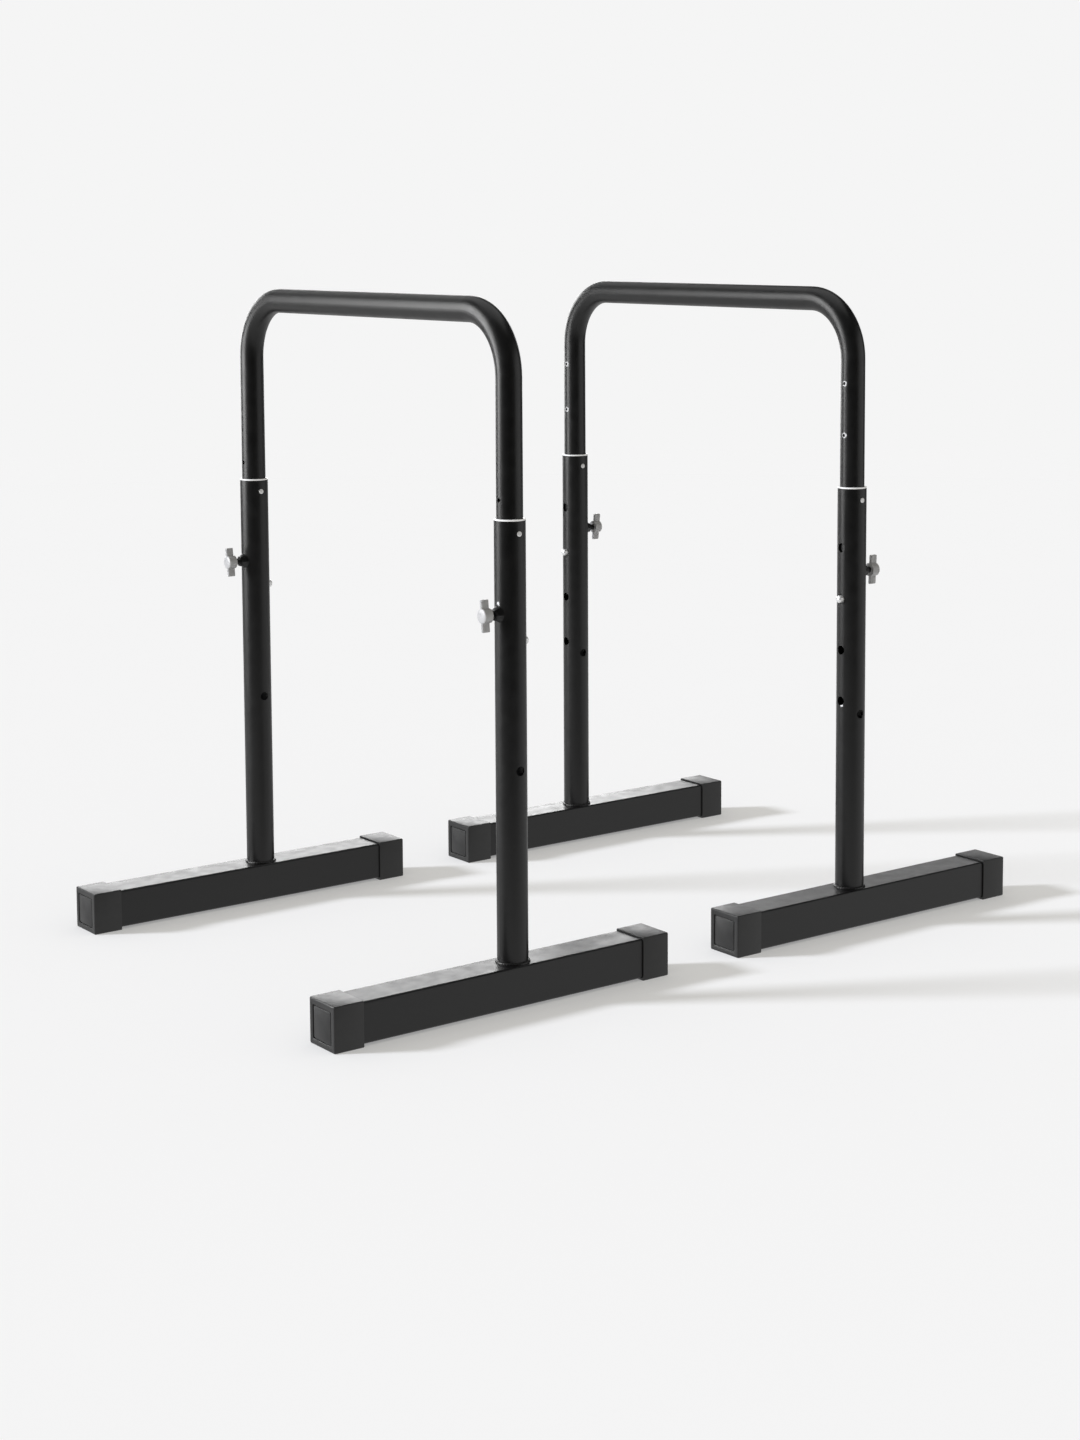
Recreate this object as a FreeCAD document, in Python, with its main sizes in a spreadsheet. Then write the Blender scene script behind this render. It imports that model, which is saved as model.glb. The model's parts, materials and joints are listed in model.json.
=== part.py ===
import FreeCAD, Part
import math
import os
import re
import Sketcher
from FreeCAD import Placement, Rotation, Vector

# Parallel bars: two free-standing dip stands, side by side.
# Frame: X from the left stand to the right one, Y along the handrails, Z up.
# The origin is on the floor, in the middle between the four legs. Millimetres.
# Every leg is built in its own frame: Z up its axis from the floor, +X away from the other stand.

SIZES = {
    # overall layout
    "stand_spacing": 556.0,     # between the two handrails
    "leg_spacing": 600.0,       # between the two legs of one stand
    "rail_height": 835.0,       # handrail centreline above the floor
    "bend_radius": 78.0,        # centreline radius of the handrail's bends
    "upper_end": 380.0,         # lower end of the upper tube, inside the leg
    # round tubes
    "upper_diameter": 32.0,
    "lower_diameter": 38.0,
    "tube_wall": 1.5,
    "lower_top": 588.0,
    # square foot tube and its caps
    "foot_size": 50.0,
    "foot_bottom": 3.0,
    "foot_corner": 3.0,
    "foot_length": 490.0,       # over both caps
    "foot_offset": 24.5,        # foot centre beyond the leg, away from the other stand
    "cap_width": 54.0,
    "cap_height": 55.0,
    "cap_length": 40.0,
    "cap_end": 3.0,
    "cap_corner": 2.0,
    "panel_size": 38.0,
    "panel_depth": 0.8,
    # weld bead round the leg on the foot
    "bead_width": 2.8,
    "bead_height": 3.2,
    "bead_lip": 0.5,            # what is left of the bead's width at its top
    # height setting: a row of button holes in the leg, a row of stud holes in the upper tube
    "hole_pitch": 68.0,
    "button_height": 442.0,
    "leg_hole": 12.0,
    "upper_button_hole": 10.6,
    "knob_height": 476.5,
    "stud_hole": 9.0,           # through the leg's wall, behind the nut
    "point_hole": 5.5,          # in the upper tube, for the stud's point
    "rim_hole": 4.5,            # two small ones high on the upper tube
    "rim_hole_low": 658.0,
    "rim_hole_high": 726.0,
    # cross holes near the foot for a brace
    "brace_height": 288.5,
    "brace_hole": 11.5,
    # guide bush and its screws
    "bush_inside": 32.2,
    "bush_outside": 34.9,
    "bush_length": 30.0,
    "bush_flange": 2.0,
    "screw_height": 573.0,
    "screw_shank": 3.9,
    "screw_hole": 4.1,
    "screw_tip": 16.6,          # from the leg's axis to the screw's end
    "screw_head": 6.6,
    "screw_dome": 2.2,
    "recess_width": 0.9,
    "recess_length": 3.8,
    "recess_depth": 1.1,
    # welded nut
    "nut_flats": 13.0,
    "nut_bore": 8.1,
    "nut_face": 25.5,           # from the leg's axis to the nut's outer face
    "nut_root": 15.5,           # where the nut and its bead start, before the tube is cut away
    "nut_bead": 22.0,
    "nut_bead_end": 23.0,
    # knob, its stud and cap, measured from the leg's axis with the knob screwed right in
    "stud_diameter": 8.0,
    "stud_tip": 16.3,
    "stud_chamfer": 1.0,
    "point_diameter": 4.8,
    "point_length": 2.2,
    "stud_end": 37.8,
    "knob_bore": 8.1,
    "hub_start": 30.6,
    "hub_diameter": 17.6,
    "hub_end": 40.6,
    "wing_start": 32.4,
    "wing_end": 42.4,
    "wing_length": 39.0,
    "wing_width": 4.6,
    "wing_round": 1.5,
    "plug_start": 38.2,
    "plug_diameter": 10.0,
    "knob_cap_diameter": 17.6,
    "knob_cap_gap": 0.3,        # round the cap, between the wings
    "knob_cap_rim": 42.2,
    "knob_cap_dome": 0.8,
    # snap button and its spring, measured from the leg's axis
    "button_diameter": 10.0,
    "button_shoulder": 22.2,
    "button_dome": 2.8,
    "button_flange": 12.0,
    "flange_outer": 13.0,
    "flange_inner": 12.0,
    "spring_thick": 0.8,
    "spring_width": 8.0,
    "spring_top": 452.0,
    "spring_bottom": 398.0,
    "spring_button_side": 11.8,
    "spring_wall_side": 13.7,
    "spring_foot": 3.0,
    # how far cutting shapes run past the face they open
    "cut_margin": 1.0,
}

STANDS = {"left": -1, "right": 1}
ENDS = {"front": -1, "rear": 1}
# how far each knob's wings have stopped from upright, in degrees
KNOB_TURN = {"left_front": 4.5, "left_rear": 9.0, "right_front": 3.0, "right_rear": 7.0}
# how far each knob has been screwed out, in whole turns of its thread
KNOB_OUT = {"left_front": 0.0, "left_rear": 2.5, "right_front": 1.25, "right_rear": 2.5}
# height settings, in steps of the hole pitch above the one shown
HEIGHT_SETTINGS = (-2, -1, 0, 1)

TOUCH = 0.01            # mm within which an edge counts as lying on a plane
PARALLEL = 0.999        # cosine above which two directions count as the same
SMALLEST_CUT = 0.1      # mm3 that every pocket has to remove

doc = FreeCAD.newDocument("parallel_bars")
sheet = doc.addObject("Spreadsheet::Sheet", "sizes")
for row, (alias, number) in enumerate(SIZES.items(), start=1):
    sheet.set(f"A{row}", alias)
    sheet.set(f"B{row}", str(number))
    sheet.setAlias(f"B{row}", alias)
doc.recompute()

nodes = []


def from_sheet(formula):
    """Point every name in a formula at its cell."""
    return re.sub(r"[a-z][a-z_]*", lambda word: "sizes." + word.group(), formula)


def bind(item, prop, formula):
    item.setExpression(prop, from_sheet(formula))


def keep(item, label, place):
    """Name a finished sub-part, place it and list it for export."""
    item.Label = label
    item.Placement = place
    nodes.append(item)


# ---------------------------------------------------------------- PartDesign helpers


def new_body(name):
    return doc.addObject("PartDesign::Body", "body_" + name)


def sketch_on(body, role, offset="0"):
    """A sketch on one of the body's own origin planes, moved along the plane's normal."""
    plane = next(item for item in body.Origin.OriginFeatures if item.Role == role)
    sketch = body.newObject("Sketcher::SketchObject", "sketch")
    sketch.AttachmentSupport = (plane, [""])
    sketch.MapMode = "FlatFace"
    bind(sketch, "AttachmentOffset.Base.z", offset)
    return sketch


def pin_point(sketch, geometry, point, across, along):
    """Hold a point of the sketch at a distance from the sketch's origin."""
    for kind, formula in (("DistanceX", across), ("DistanceY", along)):
        index = sketch.addConstraint(Sketcher.Constraint(kind, -1, 1, geometry, point, 1.0))
        bind(sketch, f"Constraints[{index}]", formula)


def add_circle(sketch, diameter, across="0", along="0"):
    circle = sketch.addGeometry(Part.Circle(Vector(1, 1, 0), Vector(0, 0, 1), 4), False)
    pin_point(sketch, circle, 3, across, along)
    index = sketch.addConstraint(Sketcher.Constraint("Diameter", circle, 8.0))
    bind(sketch, f"Constraints[{index}]", diameter)


def add_line(sketch, start, end):
    return sketch.addGeometry(Part.LineSegment(Vector(*start, 0), Vector(*end, 0)), False)


def add_arc(sketch, centre, radius, first, last):
    """An arc from one angle anticlockwise to another, in radians from the sketch's own X."""
    circle = Part.Circle(Vector(*centre, 0), Vector(0, 0, 1), radius)
    return sketch.addGeometry(Part.ArcOfCircle(circle, first, last), False)


def add_polygon(sketch, corners):
    """A closed outline of straight lines through corners given as pairs of formulas."""
    count = len(corners)
    angles = [2 * math.pi * k / count for k in range(count)]
    start = [(math.cos(angle), math.sin(angle)) for angle in angles]
    lines = [add_line(sketch, start[k], start[(k + 1) % count]) for k in range(count)]
    for k, line in enumerate(lines):
        following = lines[(k + 1) % count]
        sketch.addConstraint(Sketcher.Constraint("Coincident", line, 2, following, 1))
    for line, (across, along) in zip(lines, corners):
        pin_point(sketch, line, 1, across, along)


def add_rectangle(sketch, half_width, low, high):
    left = f"-({half_width})"
    add_polygon(sketch, [(left, low), (half_width, low), (half_width, high), (left, high)])


def extrude(body, kind, sketch, length, side="One side", reverse=False):
    """A Pad or a Pocket of a sketch."""
    feature = body.newObject("PartDesign::" + kind, kind.lower())
    feature.Profile = sketch
    feature.Type = "Length"
    feature.SideType = side
    feature.Reversed = reverse
    bind(feature, "Length", length)
    return feature


def revolve(body, sketch, axis):
    feature = body.newObject("PartDesign::Revolution", "revolution")
    feature.Profile = sketch
    feature.ReferenceAxis = (sketch, [axis])
    feature.Angle = 360
    return feature


def straight_edges(shape, direction, wanted=lambda middle: True):
    """Names of the straight edges along a direction whose middle is wanted."""
    found = []
    for number, edge in enumerate(shape.Edges, start=1):
        if edge.Curve.TypeId != "Part::GeomLine":
            continue
        if abs(edge.Curve.Direction.dot(direction)) > PARALLEL and wanted(edge.CenterOfMass):
            found.append(f"Edge{number}")
    return found


def fillet(body, base, names, radius):
    feature = body.newObject("PartDesign::Fillet", "fillet")
    feature.Base = (base, names)
    bind(feature, "Radius", radius)
    return feature


# ---------------------------------------------------------------- Part helpers

ALONG_X = Rotation(Vector(0, 0, 1), Vector(1, 0, 0))
TOWARDS_MINUS_X = Rotation(Vector(0, 0, 1), Vector(-1, 0, 0))
ALONG_Y = Rotation(Vector(0, 0, 1), Vector(0, 1, 0))
TOWARDS_MINUS_Y = Rotation(Vector(0, 0, 1), Vector(0, -1, 0))


def place_along(item, rotation, start, height):
    """Put an item's own Z axis along a direction, its base at a distance from the leg's axis."""
    direction = rotation.multVec(Vector(0, 0, 1))
    item.Placement = Placement(Vector(0, 0, 0), rotation)
    bind(item, "Placement.Base.x", f"({start}) * {direction.x:.0f}")
    bind(item, "Placement.Base.y", f"({start}) * {direction.y:.0f}")
    bind(item, "Placement.Base.z", height)


def cylinder(rotation, diameter, start, end, height):
    item = doc.addObject("Part::Cylinder", "cylinder")
    bind(item, "Radius", f"({diameter}) / 2")
    bind(item, "Height", f"({end}) - ({start})")
    place_along(item, rotation, start, height)
    return item


def dome(rotation, diameter, start, rise, height):
    """Half an ellipsoid, its flat side towards the leg's axis."""
    item = doc.addObject("Part::Ellipsoid", "dome")
    bind(item, "Radius1", rise)
    bind(item, "Radius2", f"({diameter}) / 2")
    bind(item, "Radius3", f"({diameter}) / 2")
    item.Angle1 = 0
    item.Angle2 = 90
    place_along(item, rotation, start, height)
    return item


def upright_cylinder(diameter, low, high):
    item = doc.addObject("Part::Cylinder", "upright")
    bind(item, "Radius", f"({diameter}) / 2")
    bind(item, "Height", f"({high}) - ({low})")
    bind(item, "Placement.Base.z", low)
    return item


def fuse(*items):
    joined = doc.addObject("Part::MultiFuse", "fuse")
    joined.Shapes = list(items)
    return joined


def cut(base, tool):
    rest = doc.addObject("Part::Cut", "cut")
    rest.Base = base
    rest.Tool = tool
    return rest


# ---------------------------------------------------------------- upper frame


def add_rail_path(sketch):
    """The upper tube's centreline: up one leg, along the handrail, down the other leg."""
    side = SIZES["leg_spacing"] / 2
    low = SIZES["upper_end"]
    high = SIZES["rail_height"]
    radius = SIZES["bend_radius"]
    bend_start = high - radius
    inner = side - radius
    leg_up = add_line(sketch, (-side, low), (-side, bend_start))
    bend_in = add_arc(sketch, (-inner, bend_start), radius, math.pi / 2, math.pi)
    rail = add_line(sketch, (-inner, high), (inner, high))
    bend_out = add_arc(sketch, (inner, bend_start), radius, 0, math.pi / 2)
    leg_down = add_line(sketch, (side, bend_start), (side, low))
    # both arcs run anticlockwise, so the path goes through each from its point 2 to its point 1
    joins = (
        (leg_up, 2, bend_in, 2),
        (bend_in, 1, rail, 1),
        (rail, 2, bend_out, 2),
        (bend_out, 1, leg_down, 1),
    )
    for one, its_point, other, other_point in joins:
        sketch.addConstraint(Sketcher.Constraint("Tangent", one, its_point, other, other_point))
    for line in (leg_up, leg_down):
        sketch.addConstraint(Sketcher.Constraint("Vertical", line))
    sketch.addConstraint(Sketcher.Constraint("Horizontal", rail))
    sketch.addConstraint(Sketcher.Constraint("Equal", bend_in, bend_out))
    index = sketch.addConstraint(Sketcher.Constraint("Radius", bend_in, radius))
    bind(sketch, f"Constraints[{index}]", "bend_radius")
    index = sketch.addConstraint(Sketcher.Constraint("DistanceY", -1, 1, rail, 1, high))
    bind(sketch, f"Constraints[{index}]", "rail_height")
    pin_point(sketch, leg_up, 1, "-leg_spacing / 2", "upper_end")
    pin_point(sketch, leg_down, 2, "leg_spacing / 2", "upper_end")


def make_upper_frame(label, place):
    body = new_body(label)
    path = sketch_on(body, "YZ_Plane")
    add_rail_path(path)
    ring = sketch_on(body, "XY_Plane", "upper_end")
    for diameter in ("upper_diameter", "upper_diameter - 2 * tube_wall"):
        add_circle(ring, diameter, "0", "-leg_spacing / 2")
    doc.recompute()
    pipe = body.newObject("PartDesign::AdditivePipe", "pipe")
    pipe.Profile = ring
    pipe.Spine = (path, [f"Edge{number}" for number in range(1, 6)])
    doc.recompute()

    outer_holes = sketch_on(body, "YZ_Plane")
    inner_holes = sketch_on(body, "YZ_Plane")
    for side in ("-leg_spacing / 2", "leg_spacing / 2"):
        for setting in HEIGHT_SETTINGS:
            add_circle(outer_holes, "point_hole", side, f"knob_height - {setting} * hole_pitch")
        add_circle(inner_holes, "upper_button_hole", side, "button_height")
        add_circle(inner_holes, "rim_hole", side, "rim_hole_low")
        add_circle(inner_holes, "rim_hole", side, "rim_hole_high")
    extrude(body, "Pocket", outer_holes, "upper_diameter", reverse=True)
    extrude(body, "Pocket", inner_holes, "upper_diameter")
    keep(body, label, place)


# ---------------------------------------------------------------- welded leg and foot


def make_leg_tube(label, place):
    body = new_body(label)
    ring = sketch_on(body, "XY_Plane", "foot_bottom + foot_size")
    add_circle(ring, "lower_diameter")
    add_circle(ring, "lower_diameter - 2 * tube_wall")
    extrude(body, "Pad", ring, "lower_top - foot_bottom - foot_size")
    doc.recompute()
    # one hole for the snap button at each height setting
    button_holes = sketch_on(body, "YZ_Plane")
    for setting in HEIGHT_SETTINGS:
        add_circle(button_holes, "leg_hole", "0", f"button_height + {setting} * hole_pitch")
    extrude(body, "Pocket", button_holes, "lower_diameter")
    stud_side = sketch_on(body, "YZ_Plane")
    add_circle(stud_side, "stud_hole", "0", "knob_height")
    extrude(body, "Pocket", stud_side, "lower_diameter", reverse=True)
    crosswise = sketch_on(body, "XZ_Plane")
    add_circle(crosswise, "brace_hole", "0", "brace_height")
    add_circle(crosswise, "screw_hole", "0", "screw_height")
    extrude(body, "Pocket", crosswise, "2 * lower_diameter", side="Symmetric")
    keep(body, label, place)


def make_foot_tube(label, place):
    body = new_body(label)
    length = "foot_length - 2 * cap_end"
    outline = sketch_on(body, "YZ_Plane", f"foot_offset - ({length}) / 2")
    add_rectangle(outline, "foot_size / 2", "foot_bottom", "foot_bottom + foot_size")
    solid = extrude(body, "Pad", outline, length)
    doc.recompute()
    fillet(body, solid, straight_edges(solid.Shape, Vector(1, 0, 0)), "foot_corner")
    doc.recompute()
    bore = sketch_on(body, "YZ_Plane", f"foot_offset + ({length}) / 2")
    low = "foot_bottom + tube_wall"
    add_rectangle(bore, "foot_size / 2 - tube_wall", low, "foot_bottom + foot_size - tube_wall")
    hollow = extrude(body, "Pocket", bore, length)
    doc.recompute()
    inside = SIZES["foot_size"] / 2 - SIZES["tube_wall"]
    corners = straight_edges(
        hollow.Shape, Vector(1, 0, 0), lambda middle: abs(abs(middle.y) - inside) < TOUCH
    )
    fillet(body, hollow, corners, "foot_corner - tube_wall")
    keep(body, label, place)


def make_foot_weld(label, place):
    bead = doc.addObject("Part::Cone", "bead")
    bind(bead, "Radius1", "lower_diameter / 2 + bead_width")
    bind(bead, "Radius2", "lower_diameter / 2 + bead_lip")
    bind(bead, "Height", "bead_height")
    bind(bead, "Placement.Base.z", "foot_bottom + foot_size")
    top = "foot_bottom + foot_size + bead_height"
    ring = cut(bead, upright_cylinder("lower_diameter", "foot_bottom", f"{top} + cut_margin"))
    keep(ring, label, place)


def make_foot_cap(label, place):
    """A sleeve cap: its closed end is at X = 0 and it reaches along +X."""
    body = new_body(label)
    outline = sketch_on(body, "YZ_Plane")
    add_rectangle(outline, "cap_width / 2", "0", "cap_height")
    block = extrude(body, "Pad", outline, "cap_length")
    doc.recompute()
    names = [
        f"Edge{number}"
        for number, edge in enumerate(block.Shape.Edges, start=1)
        if edge.CenterOfMass.x < SIZES["cap_length"] - TOUCH
    ]
    fillet(body, block, names, "cap_corner")
    doc.recompute()
    mouth = sketch_on(body, "YZ_Plane", "cap_length")
    add_rectangle(mouth, "foot_size / 2", "foot_bottom", "foot_bottom + foot_size")
    extrude(body, "Pocket", mouth, "cap_length - cap_end")
    panel = sketch_on(body, "YZ_Plane")
    low = "(cap_height - panel_size) / 2"
    add_rectangle(panel, "panel_size / 2", low, f"{low} + panel_size")
    extrude(body, "Pocket", panel, "panel_depth", reverse=True)
    keep(body, label, place)


def make_weld_nut(label, place):
    """A hex nut on the leg's outer side, cut to the tube's curve, with its weld bead."""
    hexagon = doc.addObject("Part::Prism", "hexagon")
    hexagon.Polygon = 6
    bind(hexagon, "Circumradius", f"nut_flats / 2 / {math.cos(math.pi / 6):.6f}")
    bind(hexagon, "Height", "nut_face - nut_root")
    flat_up = ALONG_X * Rotation(Vector(0, 0, 1), 30)
    place_along(hexagon, flat_up, "nut_root", "knob_height")
    bead = doc.addObject("Part::Cone", "nut_bead")
    bind(bead, "Radius1", "nut_bead / 2")
    bind(bead, "Radius2", "nut_flats / 2")
    bind(bead, "Height", "nut_bead_end - nut_root")
    place_along(bead, ALONG_X, "nut_root", "knob_height")
    bore = cylinder(ALONG_X, "nut_bore", "0", "nut_face + cut_margin", "knob_height")
    tube = upright_cylinder("lower_diameter", "foot_bottom + foot_size", "lower_top")
    keep(cut(fuse(hexagon, bead), fuse(bore, tube)), label, place)


# ---------------------------------------------------------------- bush


def make_bush(label, place):
    body = new_body(label)
    section = sketch_on(body, "XZ_Plane")
    add_polygon(section, [
        ("bush_inside / 2", "lower_top - bush_length"),
        ("bush_outside / 2", "lower_top - bush_length"),
        ("bush_outside / 2", "lower_top"),
        ("lower_diameter / 2", "lower_top"),
        ("lower_diameter / 2", "lower_top + bush_flange"),
        ("bush_inside / 2", "lower_top + bush_flange"),
    ])
    revolve(body, section, "V_Axis")
    doc.recompute()
    screws = sketch_on(body, "XZ_Plane")
    add_circle(screws, "screw_hole", "0", "screw_height")
    extrude(body, "Pocket", screws, "2 * lower_diameter", side="Symmetric")
    keep(body, label, place)


def make_screw(rotation):
    """One pan-head screw with a cross recess."""
    shank_end = "lower_diameter / 2 + screw_dome / 2"
    shank = cylinder(rotation, "screw_shank", "screw_tip", shank_end, "screw_height")
    head = dome(rotation, "screw_head", "lower_diameter / 2", "screw_dome", "screw_height")
    slots = []
    for width, tall in (("recess_width", "recess_length"), ("recess_length", "recess_width")):
        slot = doc.addObject("Part::Box", "slot")
        bind(slot, "Length", width)
        bind(slot, "Height", tall)
        bind(slot, "Width", "2 * recess_depth")
        bind(slot, "Placement.Base.x", f"-{width} / 2")
        bind(slot, "Placement.Base.z", f"screw_height - {tall} / 2")
        face = "(lower_diameter / 2 + screw_dome)"
        side = rotation.multVec(Vector(0, 0, 1)).y
        bind(slot, "Placement.Base.y", f"{face} * {side:.0f} - recess_depth")
        slots.append(slot)
    return cut(fuse(shank, head), fuse(*slots))


def make_bush_screws(label, place):
    pair = doc.addObject("Part::Compound", "screw_pair")
    pair.Links = [make_screw(ALONG_Y), make_screw(TOWARDS_MINUS_Y)]
    keep(pair, label, place)


# ---------------------------------------------------------------- knob


def make_stud(label, place):
    """The knob's screw, with a narrower point that goes into the upper tube's holes."""
    body = new_body(label)
    section = sketch_on(body, "XZ_Plane")
    shoulder = "stud_tip + point_length"
    edge = "knob_height + stud_diameter / 2"
    add_polygon(section, [
        ("stud_tip", "knob_height"),
        ("stud_tip", "knob_height + point_diameter / 2"),
        (shoulder, "knob_height + point_diameter / 2"),
        (shoulder, f"{edge} - stud_chamfer"),
        (f"{shoulder} + stud_chamfer", edge),
        ("stud_end", edge),
        ("stud_end", "knob_height"),
    ])
    revolve(body, section, "Edge7")
    keep(body, label, place)


def make_knob(label, place):
    """A knob with two upright wings round the X axis, thin across and deep along it."""
    body = new_body(label)
    wings = sketch_on(body, "YZ_Plane", "wing_start")
    add_rectangle(wings, "wing_width / 2", "-wing_length / 2", "wing_length / 2")
    bar = extrude(body, "Pad", wings, "wing_end - wing_start")
    doc.recompute()
    names = [
        f"Edge{number}"
        for number, edge in enumerate(bar.Shape.Edges, start=1)
        if edge.CenterOfMass.x > SIZES["wing_start"] + TOUCH
    ]
    fillet(body, bar, names, "wing_round")
    doc.recompute()
    hub = sketch_on(body, "YZ_Plane", "hub_start")
    add_circle(hub, "hub_diameter")
    extrude(body, "Pad", hub, "hub_end - hub_start")
    doc.recompute()
    # the cap sits between the wings, which stand out round it
    room = sketch_on(body, "YZ_Plane", "wing_end")
    add_circle(room, "knob_cap_diameter + 2 * knob_cap_gap")
    extrude(body, "Pocket", room, "wing_end - hub_end")
    bore = sketch_on(body, "YZ_Plane", "hub_start")
    add_circle(bore, "knob_bore")
    extrude(body, "Pocket", bore, "stud_end - hub_start", reverse=True)
    seat = sketch_on(body, "YZ_Plane", "hub_end")
    add_circle(seat, "plug_diameter")
    extrude(body, "Pocket", seat, "hub_end - plug_start")
    keep(body, label, place)


def make_knob_cap(label, place):
    """A domed disc over the hub, held by a plug in it."""
    plug = cylinder(ALONG_X, "plug_diameter", "plug_start", "hub_end", "0")
    disc = cylinder(ALONG_X, "knob_cap_diameter", "hub_end", "knob_cap_rim", "0")
    top = dome(ALONG_X, "knob_cap_diameter", "knob_cap_rim", "knob_cap_dome", "0")
    keep(fuse(plug, disc, top), label, place)


# ---------------------------------------------------------------- snap button


def make_snap_button(label, place):
    way = TOWARDS_MINUS_X
    flange = cylinder(way, "button_flange", "flange_inner", "flange_outer", "button_height")
    shank = cylinder(way, "button_diameter", "flange_inner", "button_shoulder", "button_height")
    top = dome(way, "button_diameter", "button_shoulder", "button_dome", "button_height")
    keep(fuse(flange, shank, top), label, place)


def make_snap_spring(label, place):
    """A leaf bent to a narrow V: one arm backs the button, the other rests on the tube's far wall."""
    body = new_body(label)
    strip = sketch_on(body, "XZ_Plane")
    add_polygon(strip, [
        ("-spring_button_side", "spring_top"),
        ("-spring_foot", "spring_bottom"),
        ("spring_foot", "spring_bottom"),
        ("spring_wall_side", "spring_top"),
        ("spring_wall_side - spring_thick", "spring_top"),
        ("spring_foot - spring_thick", "spring_bottom + spring_thick"),
        ("-spring_foot + spring_thick", "spring_bottom + spring_thick"),
        ("-spring_button_side + spring_thick", "spring_top"),
    ])
    extrude(body, "Pad", strip, "spring_width", side="Symmetric")
    keep(body, label, place)


# ---------------------------------------------------------------- assembly

HALF_TURN = Rotation(Vector(0, 0, 1), 180)
NO_TURN = Rotation()


def cap_place(leg_place, end):
    """Where a foot cap goes: the outer one beyond the leg, the inner one nearer the other stand."""
    half = SIZES["foot_length"] / 2
    centre = SIZES["foot_offset"]
    if end == "outer":
        return leg_place * Placement(Vector(centre + half, 0, 0), HALF_TURN)
    return leg_place * Placement(Vector(centre - half, 0, 0), NO_TURN)


def make_leg(prefix, place):
    make_leg_tube(prefix + "_leg_tube", place)
    make_foot_tube(prefix + "_foot_tube", place)
    make_foot_weld(prefix + "_foot_weld", place)
    for end in ("inner", "outer"):
        make_foot_cap(f"{prefix}_{end}_foot_cap", cap_place(place, end))
    make_weld_nut(prefix + "_weld_nut", place)
    make_bush(prefix + "_guide_bush", place)
    make_bush_screws(prefix + "_bush_screws", place)
    stud_place = place * Placement(Vector(KNOB_OUT[prefix], 0, 0), NO_TURN)
    make_stud(prefix + "_knob_stud", stud_place)
    tilt = Rotation(Vector(1, 0, 0), KNOB_TURN[prefix])
    knob_place = stud_place * Placement(Vector(0, 0, SIZES["knob_height"]), tilt)
    make_knob(prefix + "_knob", knob_place)
    make_knob_cap(prefix + "_knob_cap", knob_place)
    make_snap_button(prefix + "_snap_button", place)
    make_snap_spring(prefix + "_snap_spring", place)


for stand, across in STANDS.items():
    facing = NO_TURN if across > 0 else HALF_TURN
    stand_x = across * SIZES["stand_spacing"] / 2
    make_upper_frame(stand + "_upper_frame", Placement(Vector(stand_x, 0, 0), facing))
    for end, along in ENDS.items():
        leg_y = along * SIZES["leg_spacing"] / 2
        make_leg(f"{stand}_{end}", Placement(Vector(stand_x, leg_y, 0), facing))

doc.recompute()

# ---------------------------------------------------------------- checks and export

for item in doc.Objects:
    if "Invalid" in item.State or "Error" in item.State:
        raise RuntimeError(f"{item.Label} ({item.TypeId}) failed: {item.State}")
    if item.TypeId == "PartDesign::Pocket":
        if item.BaseFeature.Shape.Volume - item.Shape.Volume < SMALLEST_CUT:
            raise RuntimeError(f"{item.Label} of {item.getParent().Label} cuts nothing")
for item in nodes:
    if item.Shape.isNull() or not item.Shape.isValid():
        raise RuntimeError(f"{item.Label} has no valid shape")

os.makedirs("parts", exist_ok=True)
for item in nodes:
    item.Shape.exportStep(f"parts/{item.Label}.step")
print(len(nodes), "nodes written")
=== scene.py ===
import json
import math

import bmesh
import bpy
from mathutils import Matrix, Vector, noise


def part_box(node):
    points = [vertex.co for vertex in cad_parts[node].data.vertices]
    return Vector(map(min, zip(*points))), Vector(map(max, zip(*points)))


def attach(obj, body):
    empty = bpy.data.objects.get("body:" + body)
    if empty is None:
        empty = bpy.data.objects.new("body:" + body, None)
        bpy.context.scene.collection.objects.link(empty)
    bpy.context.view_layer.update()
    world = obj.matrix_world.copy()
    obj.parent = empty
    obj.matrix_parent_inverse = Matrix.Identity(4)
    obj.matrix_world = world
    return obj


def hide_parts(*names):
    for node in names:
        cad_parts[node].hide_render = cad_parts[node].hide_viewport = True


# Parallel bars: two free-standing dip stands with telescoping legs, clamp knobs and snap buttons.
# The tubes, knobs and springs are the CAD's own. Foot caps, weld beads, nuts, bushes, screws, knob
# caps, studs and snap buttons are built here in finer shape, each in its leg's own frame:
# millimetres, Z up the leg's axis from the floor, X away from the other stand.

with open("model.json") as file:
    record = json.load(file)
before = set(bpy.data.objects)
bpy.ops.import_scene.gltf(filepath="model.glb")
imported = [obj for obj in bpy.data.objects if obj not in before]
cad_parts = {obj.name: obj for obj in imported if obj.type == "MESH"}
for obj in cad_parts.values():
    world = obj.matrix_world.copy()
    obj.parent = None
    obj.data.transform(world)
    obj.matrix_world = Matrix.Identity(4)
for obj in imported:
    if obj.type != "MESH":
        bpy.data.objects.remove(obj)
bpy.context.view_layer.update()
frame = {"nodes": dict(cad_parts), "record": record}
scene = bpy.context.scene
record = frame["record"]

MM = 0.001
ROUND_STEPS = 5                     # straight steps in each rounded corner
SEGMENTS = 64                       # round the small turned pieces
SHARP = math.radians(34)            # creases above this angle stay sharp
WELD = 1e-5                         # mm within which two points become one

BODY = {node: body for body, nodes in record["behaviour"]["bodies"].items() for node in nodes}
SLOT = {part["node"]: part["material_slot"] for part in record["subparts"]}
LEGS = [node[: -len("_leg_tube")] for node in BODY if node.endswith("_leg_tube")]

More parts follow.
